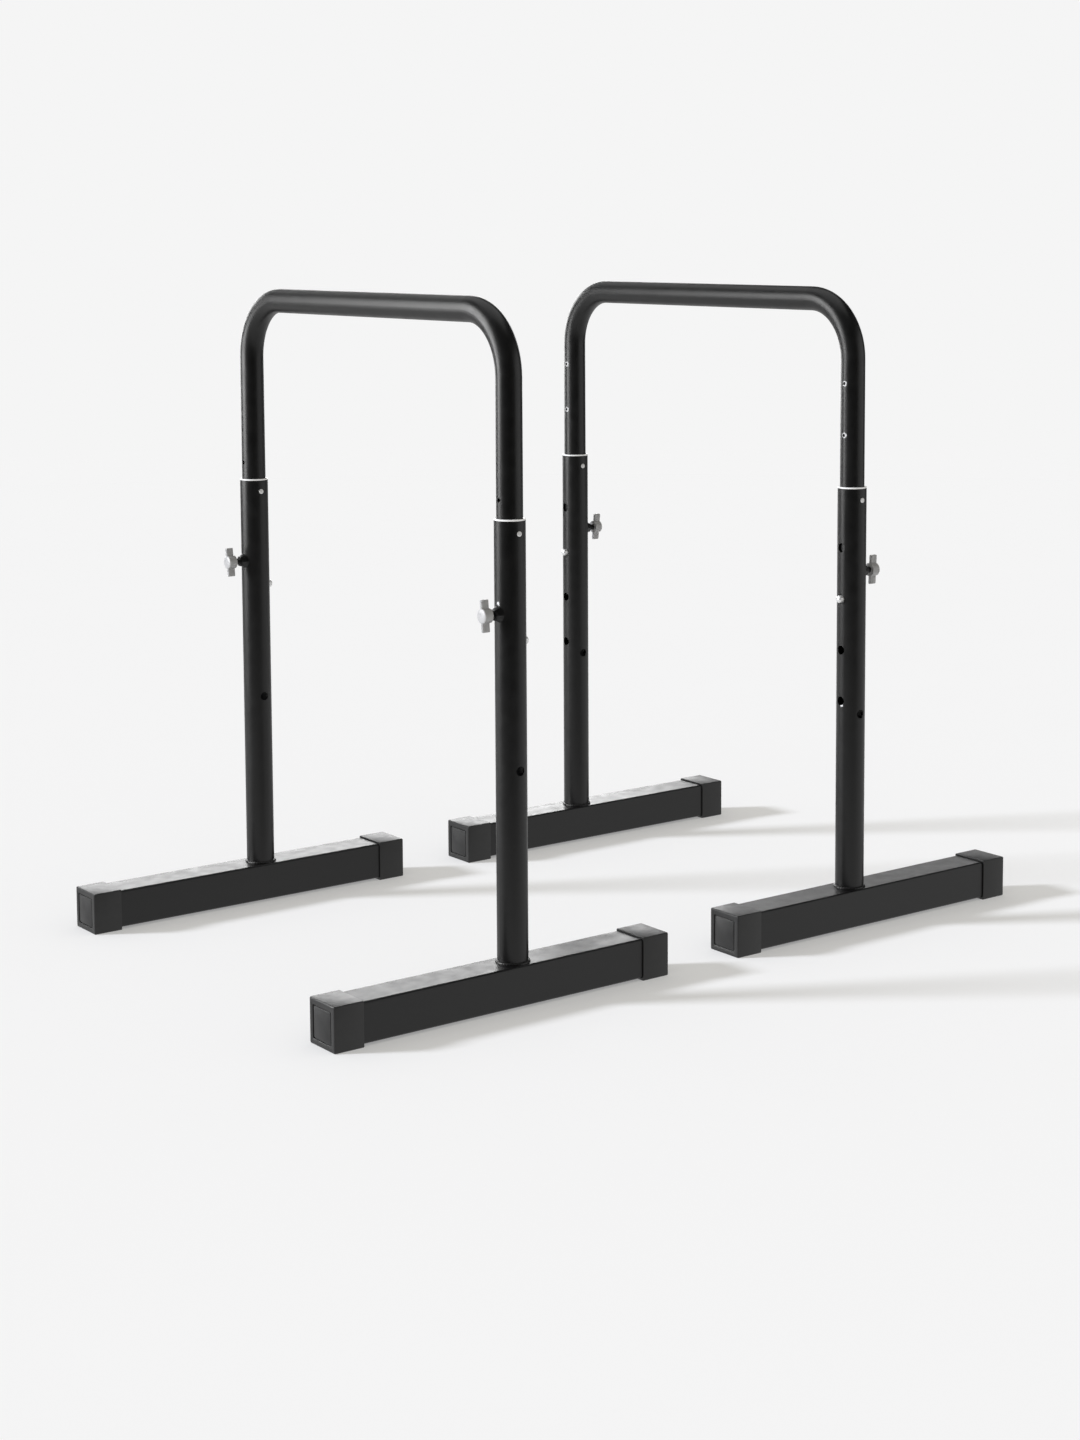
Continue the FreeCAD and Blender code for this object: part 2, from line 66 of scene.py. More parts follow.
ALONG_X = Matrix.Rotation(math.pi / 2, 4, "Y")
TOWARDS_MINUS_X = Matrix.Rotation(-math.pi / 2, 4, "Y")
HALF_TURN = Matrix.Rotation(math.pi, 4, "Z")

# ---------------------------------------------------------------- finishes


def add(tree, kind, **values):
    """A shader node with some of its inputs set, by name."""
    node = tree.nodes.new(kind)
    for name, value in values.items():
        node.inputs[name.replace("_", " ")].default_value = value
    return node


def noise_field(tree, scale, detail=2.0, stretch=(1.0, 1.0, 1.0)):
    """Noise over the object's own coordinates, with scale in cells per metre."""
    where = tree.nodes.new("ShaderNodeTexCoord")
    mapping = add(tree, "ShaderNodeMapping", Scale=stretch)
    field = add(tree, "ShaderNodeTexNoise", Scale=scale, Detail=detail)
    tree.links.new(where.outputs["Object"], mapping.inputs["Vector"])
    tree.links.new(mapping.outputs["Vector"], field.inputs["Vector"])
    return field.outputs[0]


def spread(tree, field, low, high, to_low, to_high):
    """A noise field stretched to a range of values."""
    node = add(tree, "ShaderNodeMapRange", From_Min=low, From_Max=high, To_Min=to_low, To_Max=to_high)
    tree.links.new(field, node.inputs["Value"])
    return node.outputs[0]


def tint(tree, field, dark, light):
    """A colour that runs from dark to light with a noise field."""
    ramp = tree.nodes.new("ShaderNodeValToRGB")
    ramp.color_ramp.elements[0].position = 0.3
    ramp.color_ramp.elements[1].position = 0.7
    ramp.color_ramp.elements[0].color = (*dark, 1.0)
    ramp.color_ramp.elements[1].color = (*light, 1.0)
    tree.links.new(field, ramp.inputs[0])
    return ramp.outputs["Color"]


def finish(
    name, dark, light, rough, mottle, grain, depth, metallic=0.0, stretch=(1.0, 1.0, 1.0), bleed=0.0
):
    """A surface with mottled colour and roughness and a fine grain.

    mottle and grain are in cells per metre. depth is the grain's height and bleed is how far
    light goes into the surface, both in metres.
    """
    material = bpy.data.materials.new(name)
    material.use_nodes = True
    tree = material.node_tree
    shader = tree.nodes["Principled BSDF"]
    shader.inputs["Metallic"].default_value = metallic
    if bleed:
        shader.inputs["Subsurface Weight"].default_value = 1.0
        shader.inputs["Subsurface Radius"].default_value = (1.0, 1.0, 1.0)
        shader.inputs["Subsurface Scale"].default_value = bleed
    clouds = noise_field(tree, mottle, 4.0, stretch)
    tree.links.new(tint(tree, clouds, dark, light), shader.inputs["Base Color"])
    tree.links.new(spread(tree, clouds, 0.3, 0.7, *rough), shader.inputs["Roughness"])
    bump = add(tree, "ShaderNodeBump", Strength=1.0, Distance=depth)
    tree.links.new(noise_field(tree, grain, 2.0, stretch), bump.inputs["Height"])
    tree.links.new(bump.outputs["Normal"], shader.inputs["Normal"])
    return material


def grey(level, warm=0.0):
    return (level * (1 + warm), level, level * (1 - warm))


FINISH = {
    "black_powder_coat": finish(
        "powder_coat", grey(0.004), grey(0.006), (0.34, 0.42), 60, 900, 1.2e-5
    ),
    "cap_plastic": finish(
        "cap_plastic", grey(0.012), grey(0.017), (0.38, 0.46), 90, 1600, 1.5e-5
    ),
    "bush_plastic": finish(
        "bush_plastic", grey(0.86), grey(0.93), (0.30, 0.40), 150, 2000, 1e-5
    ),
    "knob_plastic": finish(
        "knob_plastic", grey(0.34), grey(0.40), (0.42, 0.55), 180, 2200, 1.5e-5, bleed=0.003
    ),
    "knob_cap_plastic": finish(
        "knob_cap_plastic", grey(0.44), grey(0.49), (0.25, 0.35), 160, 2000, 0.6e-5
    ),
    "zinc_plated_steel": finish(
        "zinc_plate", grey(0.78), grey(0.90), (0.28, 0.42), 500, 3000, 1e-5, metallic=0.35
    ),
    "blackened_steel": finish(
        "blackened_steel", grey(0.02), grey(0.05), (0.30, 0.45), 400, 2500, 1e-5, metallic=0.6
    ),
    "polished_steel": finish(
        "polished_steel", grey(0.80), grey(0.90), (0.22, 0.32), 400, 1500, 0.4e-5, metallic=0.6
    ),
    "spring_steel": finish(
        "spring_steel", grey(0.30), grey(0.42), (0.25, 0.40), 300, 2500, 1e-5, metallic=1.0,
        stretch=(1.0, 1.0, 0.15),
    ),
}

for node, piece in frame["nodes"].items():
    for slot in piece.material_slots:
        slot.material = FINISH[SLOT[node]]

# ---------------------------------------------------------------- shapes


def skin(bm, rings, loop=False):
    """Faces between rings of equally many points, with filled ends or joined into a loop."""
    grid = [[bm.verts.new(point) for point in ring] for ring in rings]
    pairs = list(zip(grid, grid[1:]))
    if loop:
        pairs.append((grid[-1], grid[0]))
    else:
        bm.faces.new(reversed(grid[0]))
        bm.faces.new(grid[-1])
    for low, high in pairs:
        for k in range(len(low)):
            after = (k + 1) % len(low)
            bm.faces.new((low[k], low[after], high[after], high[k]))


def soften(corners):
    """Points of an outline given as (x, y, rounding), with an arc at every corner that has one."""
    points = []
    for k, (x, y, rounding) in enumerate(corners):
        here = Vector((x, y))
        if not rounding:
            points.append(here)
            continue
        back = (Vector(corners[k - 1][:2]) - here).normalized()
        ahead = (Vector(corners[(k + 1) % len(corners)][:2]) - here).normalized()
        half = back.angle(ahead) / 2
        centre = here + (back + ahead).normalized() * rounding / math.sin(half)
        first = here + back * rounding / math.tan(half) - centre
        last = here + ahead * rounding / math.tan(half) - centre
        points += [
            centre + first.slerp(last, step / ROUND_STEPS) * rounding for step in range(ROUND_STEPS + 1)
        ]
    return points


def around(segments):
    return [2 * math.pi * k / segments for k in range(segments)]


def lathe(bm, profile, place=Matrix(), loop=False, segments=SEGMENTS):
    """A solid of revolution round place's Z axis, from (height, radius) pairs."""
    rings = [
        [place @ Vector((radius * math.cos(a), radius * math.sin(a), height)) for a in around(segments)]
        for height, radius in profile
    ]
    skin(bm, rings, loop)


def leg_place(leg):
    """The leg's own frame in the object's."""
    low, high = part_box(leg + "_leg_tube")
    centre = (low + high) / 2
    facing = Matrix() if centre.x > 0 else HALF_TURN
    return Matrix.Translation((centre.x, centre.y, 0)) @ facing @ Matrix.Scale(MM, 4)


def leg_box(leg, part):
    """A CAD node's lowest and highest corners in its leg's own frame."""
    inverse = leg_place(leg).inverted()
    one, other = (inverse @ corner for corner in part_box(f"{leg}_{part}"))
    low = Vector([min(pair) for pair in zip(one, other)])
    high = Vector([max(pair) for pair in zip(one, other)])
    return low, high


def replace(leg, part, bm):
    """Turn a shape built in the leg's frame into a piece that stands for one CAD node."""
    node = f"{leg}_{part}"
    bmesh.ops.remove_doubles(bm, verts=bm.verts, dist=WELD)
    bmesh.ops.recalc_face_normals(bm, faces=bm.faces)
    for face in bm.faces:
        face.smooth = True
    for edge in bm.edges:
        edge.smooth = edge.calc_face_angle(math.pi) < SHARP
    bm.transform(leg_place(leg))
    mesh = bpy.data.meshes.new(node + "_shape")
    bm.to_mesh(mesh)
    bm.free()
    mesh.materials.append(FINISH[SLOT[node]])
    piece = bpy.data.objects.new(node + "_shape", mesh)
    scene.collection.objects.link(piece)
    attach(piece, BODY[node])
    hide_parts(node)


def lump(x, y, z, size):
    """Smooth noise between about -1 and 1, with lumps of a size in millimetres."""
    return noise.noise(Vector((x, y, z)) / size)


# ---------------------------------------------------------------- unpainted metal and painted glints

GLINT_PATCH_EDGE = 0.3                     # mm over which the light grey patch (unpainted metal and painted highlight) fades into the coat


def bare_metal_and_glint(name, spots, reach, dark=grey(0.25), light=grey(0.70)):
    """The black coat worn through to unpainted metal within reach of some points, in millimetres; the
    metal's light grey also paints in the glint at each spot, a painted highlight.
    """
    material = FINISH["black_powder_coat"].copy()
    material.name = name
    tree = material.node_tree

    def combined(kind, one, other):
        node = tree.nodes.new("ShaderNodeMath")
        node.operation = kind
        tree.links.new(one, node.inputs[0])
        tree.links.new(other, node.inputs[1])
        return node.outputs[0]

    where = tree.nodes.new("ShaderNodeTexCoord").outputs["Object"]
    nearest = None
    for spot in spots:
        gap = tree.nodes.new("ShaderNodeVectorMath")
        gap.operation = "DISTANCE"
        gap.inputs[1].default_value = spot
        tree.links.new(where, gap.inputs[0])
        gap = gap.outputs["Value"]
        nearest = combined("MINIMUM", nearest, gap) if nearest else gap
    ragged = spread(tree, noise_field(tree, 700, 3.0), 0.3, 0.7, -0.9 * MM, 0.9 * MM)
    edge = combined("ADD", nearest, ragged)
    metal_and_glint = spread(tree, edge, (reach - GLINT_PATCH_EDGE) * MM, (reach + GLINT_PATCH_EDGE) * MM, 1.0, 0.0)

    shader = tree.nodes["Principled BSDF"]
    # the patches' light grey is partly the metal's own colour and partly a painted highlight
    glint_patch_mottle = noise_field(tree, 900, 3.0)
    colour = tree.nodes.new("ShaderNodeMix")
    colour.data_type = "RGBA"
    tree.links.new(metal_and_glint, colour.inputs["Factor"])
    tree.links.new(shader.inputs["Base Color"].links[0].from_socket, colour.inputs[6])
    tree.links.new(tint(tree, glint_patch_mottle, dark, light), colour.inputs[7])
    tree.links.new(colour.outputs[2], shader.inputs["Base Color"])
    return material


# the two small holes high on each upper tube's inner side, ringed in light grey: unpainted rims, and a
# painted highlight for the glint at each hole
GLINT_HOLE_HEIGHTS = (658.0, 726.0)
GLINT_HOLE_SHIFT = 1.0                    # towards the front
for stand in ("left", "right"):
    node = stand + "_upper_frame"
    low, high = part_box(node)
    inner = low.x if low.x > 0 else high.x
    radius = (high.x - low.x) / 2
    spots = [
        (inner, end * (high.y - radius) - GLINT_HOLE_SHIFT * MM, height * MM)
        for end in (-1, 1)
        for height in GLINT_HOLE_HEIGHTS
    ]
    for slot in frame["nodes"][node].material_slots:
        slot.material = bare_metal_and_glint(stand + "_upper_tube", spots, 3.7)

# light grey spots in two legs' coat, in each leg's own frame: above the nut, and below the lowest button
# hole; chipped coat painted near white as a painted highlight for the glint at each
CHIPS_AND_GLINTS = {
    "left_front": Vector((18.8, 1.8, 490.0)),
    "right_front": Vector((-18.8, -2.5, 300.4)),
}
for leg, chip_glint in CHIPS_AND_GLINTS.items():
    # the near-white grey here paints the glint in: a painted highlight on a chip in the coat
    coat = bare_metal_and_glint(leg + "_chip_and_glint", [leg_place(leg) @ chip_glint], 2.1, grey(0.60), grey(0.90))
    for slot in frame["nodes"][leg + "_leg_tube"].material_slots:
        slot.material = coat

# ---------------------------------------------------------------- foot caps

FOOT = 50.0                         # square foot tube inside the caps
FOOT_LIFT = 3.0
CAP_END = 3.0
CAP_ROUND = 1.6
CAP_LIP = 0.5
GROOVE_INSET = 7.0
GROOVE_DEPTH = 1.5
PANEL_DEPTH = 0.3


def square_ring(x, half_width, low, high, rounding):
    """A rounded square across the foot, at a distance along it."""
    corners = [(-half_width, low), (half_width, low), (half_width, high), (-half_width, high)]
    outline = soften([(y, z, rounding) for y, z in corners])
    return [Vector((x, y, z)) for y, z in outline]


def make_foot_cap(leg, part):
    """A sleeve cap with a rounded closed end and a groove round its panel, built from X = 0 along +X."""
    low, high = leg_box(leg, part)
    length = high.x - low.x
    half = (high.y - low.y) / 2
    top = high.z
    outer = part.startswith("outer")
    place = Matrix.Translation((high.x if outer else low.x, 0, 0)) @ (HALF_TURN if outer else Matrix())

    def outside(x, inset, rounding):
        return square_ring(x, half - inset, inset, top - inset, rounding)

    def pocket(x, gap):
        return square_ring(x, FOOT / 2 + gap, FOOT_LIFT - gap, FOOT_LIFT + FOOT + gap, 2.5)

    rings = [
        pocket(CAP_END, 0),
        pocket(length - CAP_LIP, 0),
        pocket(length - CAP_LIP / 4, CAP_LIP / 4),
        pocket(length, CAP_LIP),
        outside(length, CAP_LIP, CAP_ROUND),
        outside(length - CAP_LIP / 4, CAP_LIP / 4, CAP_ROUND),
        outside(length - CAP_LIP, 0, CAP_ROUND),
    ]
    for step in range(ROUND_STEPS + 1):
        angle = math.pi / 2 * step / ROUND_STEPS
        inset = CAP_ROUND * (1 - math.cos(angle))
        rings.append(outside(CAP_ROUND * (1 - math.sin(angle)), inset, CAP_ROUND))
    groove = [(0.0, 0.0), (0.2, 0.1), (0.35, 1.0), (1.6, 1.0)]
    for further, share in groove:
        rings.append(outside(GROOVE_DEPTH * share, GROOVE_INSET + further, 2.0))
    rings.append(outside(PANEL_DEPTH + 0.2, GROOVE_INSET + 1.8, 1.8))
    rings.append(outside(PANEL_DEPTH, GROOVE_INSET + 2.2, 1.6))
    bm = bmesh.new()
    skin(bm, [[place @ point for point in ring] for ring in rings])
    replace(leg, part, bm)


# ---------------------------------------------------------------- welds and nut

TUBE = 19.0                         # the leg tube's outside radius
RIPPLES = 34


def make_foot_weld(leg):
    """A weld bead round the leg's foot, with the ripples of a hand-laid run."""
    low, high = leg_box(leg, "foot_weld")
    reach = (high.x - low.x) / 2 - TUBE
    rise = high.z - low.z
    rings = []
    for angle in around(360):
        x, y = math.cos(angle), math.sin(angle)
        size = 0.82 + 0.12 * lump(x * TUBE, y * TUBE, low.x, 7.0)
        size += 0.05 * abs(math.sin(angle * RIPPLES / 2 + lump(x * TUBE, y * TUBE, 3.0, 9.0)))
        section = [(TUBE - 0.3, 0.0), (TUBE + reach * size, 0.0)]
        for step in range(1, 7):
            share = math.pi / 2 * step / 7
            section.append((
                TUBE + reach * size * math.cos(share) ** 1.3,
                rise * size * math.sin(share) ** 0.9,
            ))
        section.append((TUBE - 0.3, rise * size))
        rings.append([Vector((x * radius, y * radius, low.z + height)) for radius, height in section])
    bm = bmesh.new()
    skin(bm, rings, loop=True)
    replace(leg, "foot_weld", bm)


NUT_FLATS = 13.0
NUT_BORE = 4.05
NUT_CHAMFER = 6.2                   # radius of the flat ring on the nut's face
BEAD_TOP = 23.0                     # from the leg's axis to where the weld starts on the nut


def hexagon(angle):
    """Distance from the nut's axis to its outline, with a flat facing up."""
    sixth = math.pi / 3
    return NUT_FLATS / 2 / math.cos((angle + sixth / 2) % sixth - sixth / 2)


def make_weld_nut(leg):
    """A chamfered hex nut in a lumpy fillet weld that follows the tube's curve."""
    low, high = leg_box(leg, "weld_nut")
    face = high.x
    middle = (low.z + high.z) / 2
    bead_reach = (high.z - low.z) / 2
    angles = around(96)

    def ring(distance, radius):
        return [
            Vector((distance, radius(a) * math.sin(a), middle + radius(a) * math.cos(a))) for a in angles
        ]

    rings = [
        ring(face - 0.7, lambda a: NUT_BORE),
        ring(face, lambda a: NUT_BORE + 0.6),
        ring(face, lambda a: NUT_CHAMFER),
    ]
    for back in (0.2, 0.4, 0.6, 0.78):
        limit = NUT_CHAMFER + back * math.sqrt(3)
        rings.append(ring(face - back, lambda a: min(hexagon(a), limit)))
    rings.append(ring(BEAD_TOP + 0.3, hexagon))
    bead_steps = 9
    for step in range(bead_steps + 1):
        share = step / bead_steps
        points = []
        for a in angles:
            # the bead reaches further at its sides and on top, and is fuller on top
            end = bead_reach * (1.0 + 0.16 * abs(math.sin(a)) + 0.16 * max(math.cos(a), 0.0) ** 2)
            end *= 1 + 0.07 * lump(math.cos(a) * 8, math.sin(a) * 8, middle + low.x, 4.0)
            fuller = 1.0 - 0.45 * max(math.cos(a), 0.0) ** 2
            radius = hexagon(a) * (1 - share) + end * share
            y = radius * math.sin(a)
            surface = math.sqrt(TUBE**2 - y**2)
            height = (BEAD_TOP - surface) * (1 - share) ** (1.25 * fuller)
            bumps = 0.22 * lump(y, radius * math.cos(a), low.x * 3, 2.6)
            height *= 1 + bumps * math.sin(math.pi * share)
            points.append(Vector((surface + height - 0.25 * share, y, middle + radius * math.cos(a))))
        rings.append(points)
    seat = []
    for a in angles:
        y = NUT_BORE * math.sin(a)
        seat.append(Vector((math.sqrt(TUBE**2 - y**2) - 0.25, y, middle + NUT_BORE * math.cos(a))))
    rings.append(seat)
    bm = bmesh.new()
    skin(bm, rings, loop=True)
    replace(leg, "weld_nut", bm)


# ---------------------------------------------------------------- bush and screws

BUSH_INSIDE = 16.1
BUSH_OUTSIDE = 17.45
FLANGE = 2.0
HEAD_RINGS = 26
RECESS_LENGTH = 3.8
RECESS_WIDTH = 0.9
RECESS_DEPTH = 1.1
SCREW_SHANK = 1.95


def make_bush(leg):
    """A guide bush: a thin sleeve in the leg with a flange on the leg's top."""
    low, high = leg_box(leg, "guide_bush")
    rim = (high.x - low.x) / 2
    seat = high.z - FLANGE
    section = soften([
        (BUSH_INSIDE, low.z, 0.4),
        (BUSH_OUTSIDE, low.z, 0.4),
        (BUSH_OUTSIDE, seat, 0.1),
        (rim, seat, 0.3),
        (rim, high.z, 0.8),
        (BUSH_INSIDE, high.z, 0.5),
    ])
    bm = bmesh.new()
    lathe(bm, [(height, radius) for radius, height in section], loop=True, segments=96)
    replace(leg, "guide_bush", bm)


def in_cross(u, v):
    """1 inside the cross recess, 0 outside, with a short slope between."""
    def inside(distance, half):
        return min(max((half - abs(distance)) / 0.12 + 0.5, 0.0), 1.0)

    along = inside(u, RECESS_LENGTH / 2) * inside(v, RECESS_WIDTH / 2)
    return max(along, inside(v, RECESS_LENGTH / 2) * inside(u, RECESS_WIDTH / 2))


def add_screw(bm, place, tip, seat, radius, rise, turn):
    """A pan-head screw along place's Z axis."""
    rings = []
    for height, size in ((tip, SCREW_SHANK - 0.4), (tip + 0.4, SCREW_SHANK), (seat, SCREW_SHANK)):
        rings.append([(height, size)] * SEGMENTS)
    profile = [(seat, radius - 0.15), (seat + 0.15, radius)]
    for step in range(1, HEAD_RINGS + 1):
        share = math.pi / 2 * step / HEAD_RINGS
        profile.append((seat + rise * math.sin(share) ** 0.8, radius * math.cos(share)))
    for height, size in profile:
        ring = []
        for angle in around(SEGMENTS):
            deep = in_cross(size * math.cos(angle + turn), size * math.sin(angle + turn))
            floor = min(height, seat + rise - RECESS_DEPTH)
            ring.append((height + (floor - height) * deep, size))
        rings.append(ring)
    skin(bm, [
        [
            place @ Vector((size * math.cos(angle), size * math.sin(angle), height))
            for angle, (height, size) in zip(around(SEGMENTS), ring)
        ]
        for ring in rings
    ])


def make_screws(leg, turn):
    """The two screws that hold the bush, at the leg's front and rear."""
    low, high = leg_box(leg, "bush_screws")
    radius = (high.z - low.z) / 2
    lift = Matrix.Translation((0, 0, (high.z + low.z) / 2))
    bm = bmesh.new()
    for side in (-1, 1):
        place = lift @ Matrix.Rotation(-side * math.pi / 2, 4, "X")
        add_screw(bm, place, TUBE - 2.4, TUBE, radius, high.y - TUBE, turn * side)
    replace(leg, "bush_screws", bm)


# ---------------------------------------------------------------- knob cap and stud

THREAD_PITCH = 1.25
THREAD_DEPTH = 0.6
THREAD_STEPS = 10                   # rings in each turn of the thread
STUD = 4.0
POINT = 2.4
POINT_LENGTH = 2.2


def make_knob_cap(leg):
    """A gently domed disc with a soft rim and a plug into the hub."""
    low, high = leg_box(leg, "knob_cap")
    radius = (high.y - low.y) / 2
    seat = low.x + 2.4
    place = Matrix.Translation((0, 0, (low.z + high.z) / 2)) @ ALONG_X
    profile = [(low.x, 0.0), (low.x, 4.7), (low.x + 0.3, 5.0), (seat, 5.0), (seat, radius - 0.3)]
    profile += [(seat + 0.1, radius - 0.08), (seat + 0.35, radius), (seat + 1.1, radius)]
    crown_steps = 14
    for step in range(1, crown_steps + 1):
        share = math.pi / 2 * step / crown_steps
        height = seat + 1.1 + (high.x - seat - 1.1) * math.sin(share)
        profile.append((height, radius * math.cos(share) ** 0.7))
    bm = bmesh.new()
    lathe(bm, profile, place)
    replace(leg, "knob_cap", bm)


def make_stud(leg):
    """A threaded rod with a plain point."""
    low, high = leg_box(leg, "knob_stud")
    middle = (low.z + high.z) / 2
    count = int((high.x - low.x) / THREAD_PITCH * THREAD_STEPS)
    rings = []
    for k in range(count + 1):
        x = low.x + (high.x - low.x) * k / count
        ring = []
        for angle in around(48):
            phase = (x / THREAD_PITCH - angle / (2 * math.pi)) % 1.0
            groove = max(0.0, 1.15 - abs(phase - 0.5) * 2.6)
            radius = STUD - THREAD_DEPTH * min(groove, 1.0)
            into_thread = x - low.x - POINT_LENGTH
            if into_thread < 0:
                radius = min(POINT, POINT - 0.5 + x - low.x)
            else:
                radius = min(radius, STUD - 1.0 + into_thread)
            ring.append(Vector((x, radius * math.sin(angle), middle + radius * math.cos(angle))))
        rings.append(ring)
    bm = bmesh.new()
    skin(bm, rings)
    replace(leg, "knob_stud", bm)


# ---------------------------------------------------------------- snap button


def make_snap_button(leg):
    """A flanged pin with a domed end, pointing to the other stand."""
    low, high = leg_box(leg, "snap_button")
    flange = (high.y - low.y) / 2
    tip, back = -low.x, -high.x
    pin = flange - 1.0
    shoulder = tip - 2.8
    place = Matrix.Translation((0, 0, (low.z + high.z) / 2)) @ TOWARDS_MINUS_X
    profile = [(back, 0.0), (back, flange - 0.2), (back + 0.2, flange), (back + 0.8, flange)]
    profile += [(back + 1.0, flange - 0.2), (back + 1.0, pin), (shoulder, pin)]
    dome_steps = 14
    for step in range(1, dome_steps + 1):
        share = math.pi / 2 * step / dome_steps
        profile.append((shoulder + (tip - shoulder) * math.sin(share), pin * math.cos(share)))
    bm = bmesh.new()
    lathe(bm, profile, place)
    replace(leg, "snap_button", bm)


for number, leg in enumerate(LEGS):
    make_foot_cap(leg, "inner_foot_cap")
    make_foot_cap(leg, "outer_foot_cap")
    make_foot_weld(leg)
    make_weld_nut(leg)
    make_bush(leg)
    make_screws(leg, math.radians(25 + 40 * number))
    make_knob_cap(leg)
    make_stud(leg)
    make_snap_button(leg)

# ---------------------------------------------------------------- camera

CAMERA_AT = Vector((-1.9841, -2.6612, 0.9383))
YAW, PITCH, ROLL = 0.6381, 0.1037, -0.0058
LENS = 62.02
SHIFT = -1 / 6

ahead = Vector((math.sin(YAW), math.cos(YAW), 0))
aside = Vector((math.cos(YAW), -math.sin(YAW), 0))
upright = Vector((0, 0, 1))

view = ahead * math.cos(PITCH) - upright * math.sin(PITCH)
above = aside.cross(view)
across = aside * math.cos(ROLL) + above * math.sin(ROLL)
camera_data = bpy.data.cameras.new("camera")
camera_data.sensor_width = 36.0
camera_data.lens = LENS
camera_data.shift_y = SHIFT
camera = bpy.data.objects.new("camera", camera_data)
turned = Matrix((across, across.cross(view), -view)).transposed().to_4x4()
camera.matrix_world = Matrix.Translation(CAMERA_AT) @ turned
scene.collection.objects.link(camera)
scene.camera = camera
scene.view_settings.view_transform = "Standard"

# ---------------------------------------------------------------- studio

PALE = 0.913                        # what the empty background shows
FILL = (0.535, 0.520, 0.485)
KEY_TINT = (0.97, 1.0, 1.08)
KEY_STRENGTH = 3.3
KEY_HEIGHT = math.radians(26)
KEY_WIDTH = math.radians(9)
KEY_FROM = 96                       # bearing it comes from
ROOM = 0.02                         # what the pieces reflect of the room


def aim(lamp, towards):
    lamp.rotation_euler = towards.to_track_quat("-Z", "Y").to_euler()


def add_lamp(name, kind, strength, tint_colour):
    data = bpy.data.lights.new(name, kind)
    data.energy = strength
    data.color = tint_colour
    lamp = bpy.data.objects.new(name, data)
    scene.collection.objects.link(lamp)
    return lamp


def add_card(name, centre, width, height, radiance):
    """A soft card that faces the object and shows only in its gloss."""
    # a square metre of card at one unit of radiance sends out pi watts
    lamp = add_lamp(name, "AREA", radiance * math.pi * width * height, (1.0, 1.0, 1.0))
    lamp.data.shape = "RECTANGLE"
    lamp.data.size = width
    lamp.data.size_y = height
    lamp.location = centre
    aim(lamp, Vector((0, 0, 0.45)) - centre)
    lamp.visible_camera = False
    lamp.visible_diffuse = False


def bearing(degrees):
    """A level direction, in degrees to the left of the camera's."""
    turn = math.radians(degrees)
    return ahead * math.cos(turn) - aside * math.sin(turn)


key = add_lamp("key", "SUN", KEY_STRENGTH, KEY_TINT)
key.data.angle = KEY_WIDTH
key.visible_glossy = False
aim(key, -bearing(KEY_FROM) * math.cos(KEY_HEIGHT) - upright * math.sin(KEY_HEIGHT))

add_card("side_card", bearing(93) * 2.4 + upright * 1.2, 1.3, 1.9, 8.8)
add_card("back_card", bearing(20) * 4.5 + upright * 1.15, 4.2, 1.6, 5.0)
add_card("high_card", bearing(25) * 4.0 + upright * 3.2, 3.2, 1.4, 0.8)
add_card("far_card", bearing(-15) * 4.5 + upright * 1.2, 2.8, 1.6, 1.2)
add_card("right_card", bearing(-100) * 3.0 + upright * 0.9, 3.4, 2.2, 0.8)
add_card("top_card", ahead * 0.5 + upright * 3.2, 3.0, 3.0, 0.8)

world = bpy.data.worlds.new("studio")
scene.world = world
world.use_nodes = True
world.cycles.sampling_method = "NONE"
tree = world.node_tree
tree.nodes.clear()
rays = tree.nodes.new("ShaderNodeLightPath")


def background(colour):
    return add(tree, "ShaderNodeBackground", Color=(*colour, 1.0)).outputs[0]


def either(choice, one, other):
    node = tree.nodes.new("ShaderNodeMixShader")
    tree.links.new(choice, node.inputs[0])
    tree.links.new(one, node.inputs[1])
    tree.links.new(other, node.inputs[2])
    return node.outputs[0]


lit = either(rays.outputs["Is Glossy Ray"], background(FILL), background(grey(ROOM)))
seen = either(rays.outputs["Is Camera Ray"], lit, background(grey(PALE)))
tree.links.new(seen, tree.nodes.new("ShaderNodeOutputWorld").inputs[0])

# ---------------------------------------------------------------- floor

FLOOR_RADIUS = 7.0
FLOOR_FADE = 3.5
FLOOR_ALBEDO = 0.65
FLOOR_GLOW = 0.274                  # the floor's own light, which keeps its shadows pale
FLOOR_GLOSS_CENTRE = 1.5            # metres behind the object
FLOOR_GLOSS_FULL = 2.4              # metres from there within which the floor shows in the gloss
FLOOR_GLOSS_NONE = 3.4              # metres from there beyond which it doesn't
FLOOR_GLOSS_LIGHT = 0.68

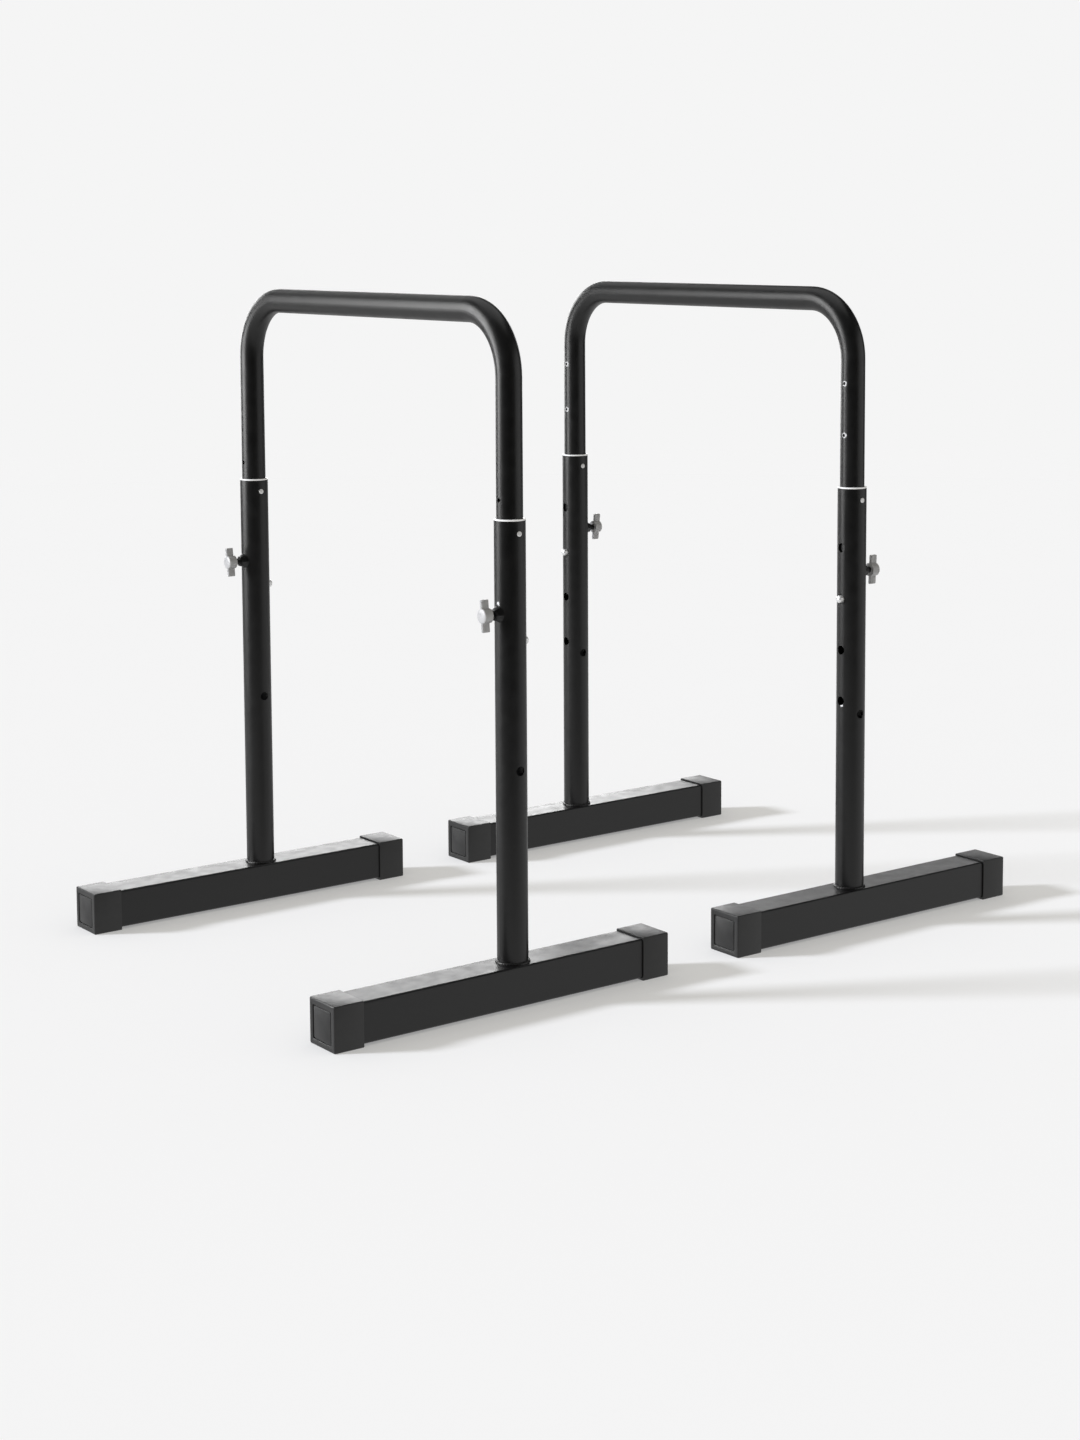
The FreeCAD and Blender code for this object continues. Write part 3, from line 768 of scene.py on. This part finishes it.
bm = bmesh.new()
rings = [
    [Vector((radius * math.cos(a), radius * math.sin(a), 0)) for a in around(96)]
    for radius in (FLOOR_RADIUS, 3.0, 1.0)
]
grid = [[bm.verts.new(point) for point in ring] for ring in rings]
for outer, inner in zip(grid, grid[1:]):
    for k in range(len(outer)):
        after = (k + 1) % len(outer)
        bm.faces.new((outer[k], outer[after], inner[after], inner[k]))
bm.faces.new(grid[-1])
floor_mesh = bpy.data.meshes.new("floor")
bm.to_mesh(floor_mesh)
bm.free()
floor = bpy.data.objects.new("floor", floor_mesh)
scene.collection.objects.link(floor)

paper = bpy.data.materials.new("paper")
paper.use_nodes = True
tree = paper.node_tree
tree.nodes.clear()
rays = tree.nodes.new("ShaderNodeLightPath")
clouds = noise_field(tree, 3.0, 2.0)
plain = tree.nodes.new("ShaderNodeBsdfDiffuse")
shade = tint(tree, clouds, grey(FLOOR_ALBEDO * 0.998), grey(FLOOR_ALBEDO * 1.002))
tree.links.new(shade, plain.inputs["Color"])
where = tree.nodes.new("ShaderNodeTexCoord")


def distance_from(point):
    node = tree.nodes.new("ShaderNodeVectorMath")
    node.operation = "DISTANCE"
    node.inputs[1].default_value = point
    tree.links.new(where.outputs["Object"], node.inputs[0])
    return node.outputs["Value"]


reach = distance_from(ahead * FLOOR_GLOSS_CENTRE)
glossy = tree.nodes.new("ShaderNodeEmission")
gloss_light = spread(tree, reach, FLOOR_GLOSS_FULL, FLOOR_GLOSS_NONE, FLOOR_GLOSS_LIGHT, 0.0)
tree.links.new(gloss_light, glossy.inputs["Strength"])
glow = add(tree, "ShaderNodeEmission", Strength=FLOOR_GLOW)
paper_light = tree.nodes.new("ShaderNodeAddShader")
tree.links.new(plain.outputs[0], paper_light.inputs[0])
tree.links.new(glow.outputs[0], paper_light.inputs[1])
shown = either(rays.outputs["Is Glossy Ray"], paper_light.outputs[0], glossy.outputs[0])
fade = spread(tree, distance_from(Vector()), FLOOR_FADE, FLOOR_RADIUS, 0.0, 1.0)
clear = tree.nodes.new("ShaderNodeBsdfTransparent")
faded = either(fade, shown, clear.outputs[0])
tree.links.new(faded, tree.nodes.new("ShaderNodeOutputMaterial").inputs[0])
floor_mesh.materials.append(paper)
